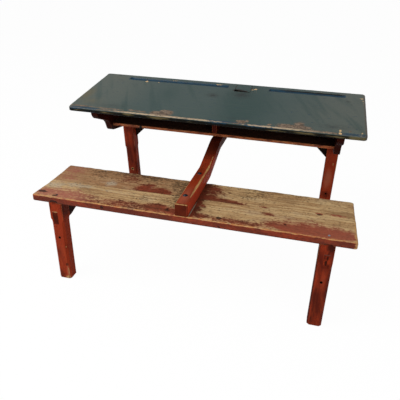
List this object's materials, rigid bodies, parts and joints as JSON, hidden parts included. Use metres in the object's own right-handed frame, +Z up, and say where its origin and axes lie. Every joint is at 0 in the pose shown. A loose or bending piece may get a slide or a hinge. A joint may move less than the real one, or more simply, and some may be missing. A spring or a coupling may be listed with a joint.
{
  "type": "school bench desk",
  "caption": "School bench desk: sloping fixed top with pencil grooves and an inkwell under a lifting flap, open book shelf below, and a plank bench joined to it by a bent wooden arm.",
  "frame": {"origin": "on the floor, under the middle of the object's bounding box", "axes": "+X along the bench, +Y from the bench to the desk, +Z up"},
  "size_m": [1.204, 0.8312, 0.6814],
  "materials": {
    "oxblood_paint": "worn satin oxblood paint on softwood",
    "slate_paint": "worn satin grey-green paint on softwood",
    "worn_seat": "weathered bare softwood with remains of red paint",
    "shelf_wood": "rubbed red-brown paint",
    "bare_wood": "bare softwood",
    "steel": "dark oxidised steel",
    "stoneware": "dark glazed stoneware"
  },
  "bodies": {
    "desk": {"desk_top": "slate_paint", "bench_seat": "worn_seat", "bench_leg_left": "oxblood_paint", "bench_leg_right": "oxblood_paint", "seat_bracket_left": "oxblood_paint", "seat_bracket_right": "oxblood_paint", "seat_tenon_wedges": "bare_wood", "seat_nails": "steel", "desk_leg_left": "oxblood_paint", "desk_leg_right": "oxblood_paint", "desk_bracket_left": "oxblood_paint", "desk_bracket_right": "oxblood_paint", "desk_tenon_wedges": "bare_wood", "corner_gusset_left": "oxblood_paint", "corner_gusset_right": "oxblood_paint", "book_shelf": "shelf_wood", "shelf_divider": "oxblood_paint", "back_board": "oxblood_paint", "back_board_nails": "steel", "divider_nails": "steel", "centre_arm": "oxblood_paint", "arm_bolts": "steel", "arm_bolt_washers": "steel", "arm_bolt_nuts": "steel", "arm_shelf_nails": "steel", "inkwell_cup": "stoneware", "inkwell_block": "slate_paint", "inkwell_block_nails": "steel", "flap_pivot_pin": "steel"},
    "flap": {"inkwell_flap": "slate_paint"}
  },
  "joints": [
    {"name": "flap_hinge", "type": "hinge", "parent": "desk", "child": "flap", "pos_m": [0.07825, 0.3038, 0.67492], "axis": [-1, 0, 0], "range_deg": [0, 110]}
  ]
}
